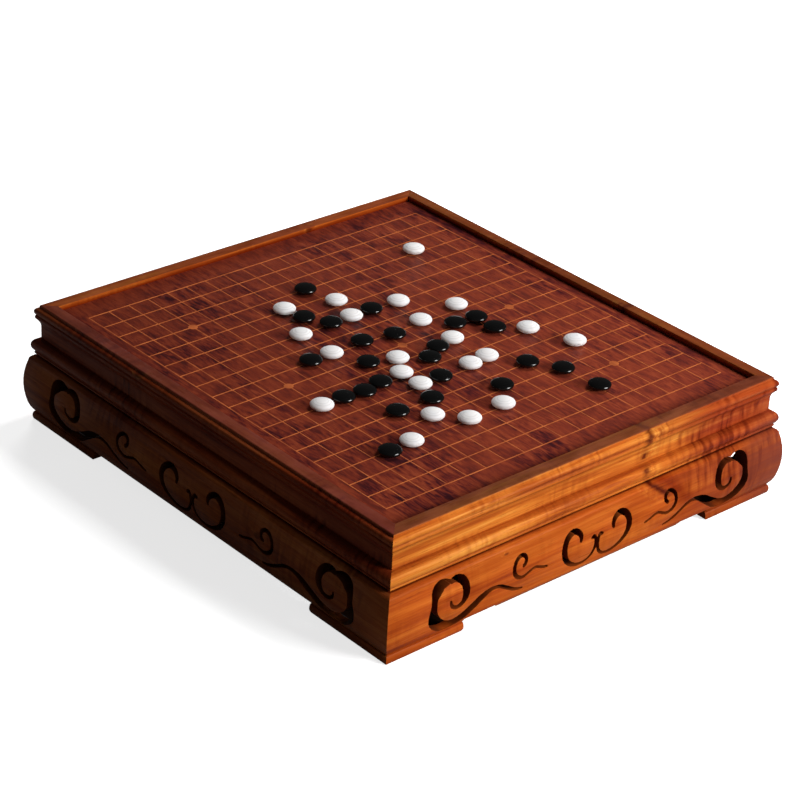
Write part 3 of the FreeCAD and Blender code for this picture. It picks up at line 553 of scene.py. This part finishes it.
def smoother(angle):
    """A node group that drops a CAD mesh's normals and smooths all but its sharp edges."""
    group = bpy.data.node_groups.new("smooth_faces", "GeometryNodeTree")
    group.interface.new_socket("Geometry", in_out="INPUT", socket_type="NodeSocketGeometry")
    group.interface.new_socket("Geometry", in_out="OUTPUT", socket_type="NodeSocketGeometry")
    nodes = group.nodes
    links = group.links
    start = nodes.new("NodeGroupInput")
    plain = nodes.new("GeometryNodeRemoveAttribute")
    plain.inputs["Name"].default_value = "custom_normal"
    faces = nodes.new("GeometryNodeSetShadeSmooth")
    edges = nodes.new("GeometryNodeSetShadeSmooth")
    edges.domain = "EDGE"
    edges.inputs["Shade Smooth"].default_value = False
    turn = nodes.new("GeometryNodeInputMeshEdgeAngle")
    sharp = nodes.new("FunctionNodeCompare")
    sharp.inputs[1].default_value = angle
    end = nodes.new("NodeGroupOutput")
    links.new(start.outputs[0], plain.inputs[0])
    links.new(plain.outputs[0], faces.inputs[0])
    links.new(faces.outputs[0], edges.inputs[0])
    links.new(turn.outputs["Unsigned Angle"], sharp.inputs[0])
    links.new(sharp.outputs[0], edges.inputs["Selection"])
    links.new(edges.outputs[0], end.inputs[0])
    return group


SMOOTHER = smoother(SHARP_ANGLE)


def dress(node, material):
    """Give a CAD node its material, softly broken edges and smooth curves."""
    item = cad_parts[node]
    item.data.materials.clear()
    item.data.materials.append(material)
    weld = item.modifiers.new("weld", "WELD")
    weld.merge_threshold = WELD_REACH
    flat = item.modifiers.new("flat", "DECIMATE")
    flat.decimate_type = "DISSOLVE"
    flat.angle_limit = FLAT_ANGLE
    bevel = item.modifiers.new("edges", "BEVEL")
    bevel.width = EDGE_WIDTH
    bevel.segments = 2
    bevel.limit_method = "ANGLE"
    bevel.angle_limit = SHARP_ANGLE
    bevel.harden_normals = False
    smooth = item.modifiers.new("smooth", "NODES")
    smooth.node_group = SMOOTHER


def long_axis(node):
    """The level axis along which a node is longer, where its grain runs."""
    low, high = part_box(node)
    size = high - low
    return "X" if size.x >= size.y else "Y"


for node_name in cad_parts:
    if node_name.endswith("_stones"):
        continue
    dress(node_name, MATERIALS.get(node_name) or INNER[long_axis(node_name)])


# -------------------------------------------------------------- lines and stones

def mesh_object(name, mesh_builder, material, body):
    """A piece of the scene's own, built by a function that fills a bmesh."""
    mesh = bpy.data.meshes.new(name)
    shape = bmesh.new()
    mesh_builder(shape)
    bmesh.ops.recalc_face_normals(shape, faces=shape.faces)
    shape.to_mesh(mesh)
    shape.free()
    item = bpy.data.objects.new(name, mesh)
    bpy.context.scene.collection.objects.link(item)
    mesh.materials.append(material)
    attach(item, body)
    return item


def add_bar(shape, low, high):
    """A thin box between two corners."""
    size = high - low
    middle = (low + high) / 2
    bmesh.ops.create_cube(shape, size=1.0, matrix=Matrix.LocRotScale(middle, None, size))


# The grid, with the same sizes as in the CAD model.
LINES = 19
PITCH = Vector((21.85, 22.85)) * MM
GRID_SHIFT = Vector((1.0, 1.0)) * MM
LINE_WIDTHS = (1.0 * MM, 1.1 * MM)
LINE_RISE = 0.03 * MM
LINE_DEPTH = 0.4 * MM
STAR_RADIUS = 4.4 * MM
STAR_SEGMENTS = 32
STAR_STEPS = (-6, 0, 6)


def build_lines(axis):
    """The lines that stand side by side along the axis."""
    other = 1 - axis
    reach = PITCH[other] * (LINES - 1) / 2 + LINE_WIDTHS[other] / 2
    half = LINE_WIDTHS[axis] / 2

    def build(shape):
        for step in range(LINES):
            middle = GRID_SHIFT[axis] + (step - (LINES - 1) / 2) * PITCH[axis]
            low = [0.0, 0.0, FIELD - LINE_DEPTH]
            high = [0.0, 0.0, FIELD + LINE_RISE * (1 + axis)]
            low[axis] = middle - half
            high[axis] = middle + half
            low[other] = GRID_SHIFT[other] - reach
            high[other] = GRID_SHIFT[other] + reach
            add_bar(shape, Vector(low), Vector(high))

    return build


def build_stars(shape):
    """The nine round points on the grid, a hair above the lines."""
    thickness = LINE_DEPTH + 3 * LINE_RISE
    for column in STAR_STEPS:
        for row in STAR_STEPS:
            place = GRID_SHIFT + Vector((column * PITCH.x, row * PITCH.y))
            centre = Vector((place.x, place.y, FIELD - LINE_DEPTH + thickness / 2))
            bmesh.ops.create_cone(
                shape, cap_ends=True, segments=STAR_SEGMENTS, radius1=STAR_RADIUS,
                radius2=STAR_RADIUS, depth=thickness, matrix=Matrix.Translation(centre))


INLAY_ACROSS = line_inlay("line_inlay_across", (0.40, 0.092, 0.024), (0.62, 0.170, 0.045))
INLAY_ALONG = line_inlay("line_inlay_along", (0.30, 0.066, 0.020), (0.50, 0.128, 0.036))
mesh_object("lines_along", build_lines(0), INLAY_ALONG, "case")
mesh_object("lines_across", build_lines(1), INLAY_ACROSS, "case")
mesh_object("star_points", build_stars, INLAY_ALONG, "case")


def stone_middles(node):
    """The middle of each separate solid in a node, read from its mesh."""
    shape = bmesh.new()
    shape.from_mesh(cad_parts[node].data)
    bmesh.ops.remove_doubles(shape, verts=shape.verts, dist=0.01 * MM)
    seen = set()
    middles = []
    for first in shape.verts:
        if first in seen:
            continue
        seen.add(first)
        found = [first]
        for vert in found:
            for edge in vert.link_edges:
                other = edge.other_vert(vert)
                if other not in seen:
                    seen.add(other)
                    found.append(other)
        middles.append(sum((vert.co for vert in found), Vector()) / len(found))
    shape.free()
    return sorted(middles, key=lambda point: (round(point.x, 4), round(point.y, 4)))


STONE_RADIUS = 10.6 * MM
STONE_HALF = 4.2 * MM
STONE_SEGMENTS = 40
STONE_RINGS = 20


def build_stones(middles):
    """Lens-shaped stones, whose points know how far from the stone's middle they lie."""

    def build(shape):
        ring = shape.verts.layers.float.new(RING_NAME)
        for middle in middles:
            size = Vector((STONE_RADIUS, STONE_RADIUS, STONE_HALF))
            made = bmesh.ops.create_uvsphere(
                shape, u_segments=STONE_SEGMENTS, v_segments=STONE_RINGS, radius=1.0,
                matrix=Matrix.LocRotScale(middle, None, size))
            for vert in made["verts"]:
                vert[ring] = (vert.co - middle).xy.length / STONE_RADIUS

    return build


STONES = {
    "white_stones": stone_glass(
        "white_glass", low=(0.67, 0.65, 0.64), high=(0.78, 0.76, 0.75),
        roughness=0.50, gloss=0.08, milk=16.0 * MM),
    "black_stones": stone_glass(
        "black_glass", low=(0.002, 0.002, 0.002), high=(0.003, 0.003, 0.003),
        roughness=0.15, gloss=0.45),
}

for node_name, material in STONES.items():
    item = mesh_object(f"smooth_{node_name}", build_stones(stone_middles(node_name)),
                       material, node_name)
    item.data.polygons.foreach_set("use_smooth", [True] * len(item.data.polygons))
    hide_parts(node_name)


# ------------------------------------------------------- floor, light and camera

WHITE = (1.0, 1.0, 1.0, 1.0)
FLOOR_SIZE = 12.0
FLOOR_WHITE = (0.95, 0.95, 0.95, 1.0)
FLOOR_DIM = (0.20, 0.20, 0.20, 1.0)
# Under the board the floor's colour is a painted shadow.
FLOOR_SHADOW_UNDER = (0.045, 0.020, 0.012, 1.0)
# Distances beyond the board's box: where the painted shadow on the ground under it gives way,
# and where the glow rises so that the horizon stays white.
FLOOR_CLEAR = (-26.0 * MM, -19.0 * MM)
FLOOR_FAR = (0.5, 2.5)
GLOW_NEAR = 0.74
GLOW_ADDED_FAR = 0.26
SHARE_IN_GLOSS = 0.07
WORLD_LIGHT = 0.045


def add_floor():
    """A pale floor: white to the camera away from the object, dim to bounced light, and painted
    dark under the board as a shadow.
    """
    mesh = bpy.data.meshes.new("floor")
    shape = bmesh.new()
    bmesh.ops.create_grid(shape, size=FLOOR_SIZE)
    shape.to_mesh(mesh)
    shape.free()
    item = bpy.data.objects.new("floor", mesh)
    bpy.context.scene.collection.objects.link(item)
    n = Nodes("floor")
    parts = n.split(n.point())
    corner = CAD_BOUNDS[1]
    outside = largest(n, [
        n.math("SUBTRACT", n.math("ABSOLUTE", parts[axis]), corner[index])
        for axis, index in ALONG.items()])
    path = n.add("ShaderNodeLightPath")
    gloss = n.math("MULTIPLY", path.outputs["Is Glossy Ray"], SHARE_IN_GLOSS)
    seen = largest(n, [path.outputs["Is Camera Ray"], gloss, path.outputs["Is Transmission Ray"]])
    clear = n.span(outside, *FLOOR_CLEAR)
    # The painted shadow under the board gives way to the pale floor here.
    dim = n.mix(clear, FLOOR_SHADOW_UNDER, FLOOR_DIM)
    n.set(Base_Color=n.mix(n.math("MULTIPLY", seen, clear), dim, FLOOR_WHITE))
    n.set(Roughness=0.9, Specular_IOR_Level=0.0, Emission_Color=WHITE)
    more = n.span(outside, *FLOOR_FAR, 0.0, GLOW_ADDED_FAR)
    glow = n.math("ADD", n.math("MULTIPLY", clear, GLOW_NEAR), more)
    n.set(Emission_Strength=n.math("MULTIPLY", seen, glow))
    mesh.materials.append(n.material)


# Each lamp's name, place, size, watts, and whether it shows in gloss.
LAMPS = (
    ("key", (1.25, -3.05, 1.35), (1.5, 1.2), 140.0, True),
    ("top", (1.3, -0.1, 2.2), (1.0, 1.0), 36.0, False),
    ("back", (1.5, 2.1, 0.9), (1.0, 0.8), 24.0, False),
)
LAMP_AIM = Vector((0.0, 0.0, 0.06))


def add_lamp(name, place, size, power, glossy):
    """A rectangular lamp that looks at the board."""
    light = bpy.data.lights.new(name, "AREA")
    light.shape = "RECTANGLE"
    light.size = size[0]
    light.size_y = size[1]
    light.energy = power
    item = bpy.data.objects.new(name, light)
    item.location = place
    aim = LAMP_AIM - Vector(place)
    item.rotation_euler = aim.to_track_quat("-Z", "Y").to_euler()
    item.visible_glossy = glossy
    bpy.context.scene.collection.objects.link(item)


def add_lights():
    """A world that is white to the camera and weak as a light, and the lamps."""
    world = bpy.data.worlds.new("studio")
    bpy.context.scene.world = world
    world.use_nodes = True
    tree = world.node_tree
    background = tree.nodes["Background"]
    path = tree.nodes.new("ShaderNodeLightPath")
    seen = tree.nodes.new("ShaderNodeMath")
    seen.operation = "MAXIMUM"
    level = tree.nodes.new("ShaderNodeMapRange")
    level.inputs["To Min"].default_value = WORLD_LIGHT
    level.inputs["To Max"].default_value = 1.0
    tree.links.new(path.outputs["Is Camera Ray"], seen.inputs[0])
    tree.links.new(path.outputs["Is Transmission Ray"], seen.inputs[1])
    tree.links.new(seen.outputs[0], level.inputs[0])
    tree.links.new(level.outputs[0], background.inputs["Strength"])
    background.inputs["Color"].default_value = WHITE
    for lamp in LAMPS:
        add_lamp(*lamp)


# The camera, fitted to edges and points measured in the photograph.
CAMERA_PLACE = Vector((-1.3949, -1.5189, 1.1869))
CAMERA_AZIMUTH = math.radians(42.578)
CAMERA_ELEVATION = math.radians(28.715)
CAMERA_ROLL = math.radians(3.218)
LENS = 116.78
SENSOR = 36.0


def add_camera():
    data = bpy.data.cameras.new("camera")
    data.lens = LENS
    data.sensor_width = SENSOR
    item = bpy.data.objects.new("camera", data)
    aim = Matrix.Rotation(-CAMERA_AZIMUTH, 4, "Z")
    aim @= Matrix.Rotation(math.pi / 2 - CAMERA_ELEVATION, 4, "X")
    aim @= Matrix.Rotation(CAMERA_ROLL, 4, "Z")
    item.matrix_world = Matrix.Translation(CAMERA_PLACE) @ aim
    bpy.context.scene.collection.objects.link(item)
    bpy.context.scene.camera = item


add_floor()
add_lights()
add_camera()
bpy.context.scene.view_settings.view_transform = "Standard"
